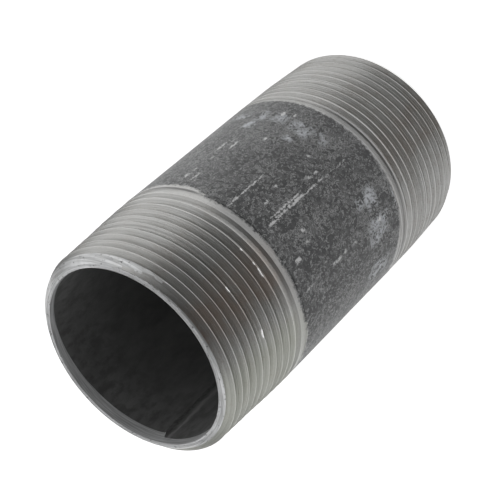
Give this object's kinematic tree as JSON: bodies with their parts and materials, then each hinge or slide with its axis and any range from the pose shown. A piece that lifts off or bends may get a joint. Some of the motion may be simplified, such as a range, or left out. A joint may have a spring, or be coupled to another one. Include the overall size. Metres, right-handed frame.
{
  "type": "pipe nipple",
  "caption": "Short steel pipe with a taper pipe thread, bevel and reamed mouth at each end and a plain black barrel between.",
  "frame": {"origin": "centre of the bottom end face, on the pipe's axis", "axes": "+Z along the pipe's axis, up when it stands on its end; X and Y across it"},
  "size_m": [0.0482, 0.0482, 0.0889],
  "materials": {
    "black_steel": "dark mill scale on the barrel and bore, bare machined steel on the threads and faces"
  },
  "bodies": {
    "root": {"pipe_nipple": "black_steel"}
  },
  "joints": []
}
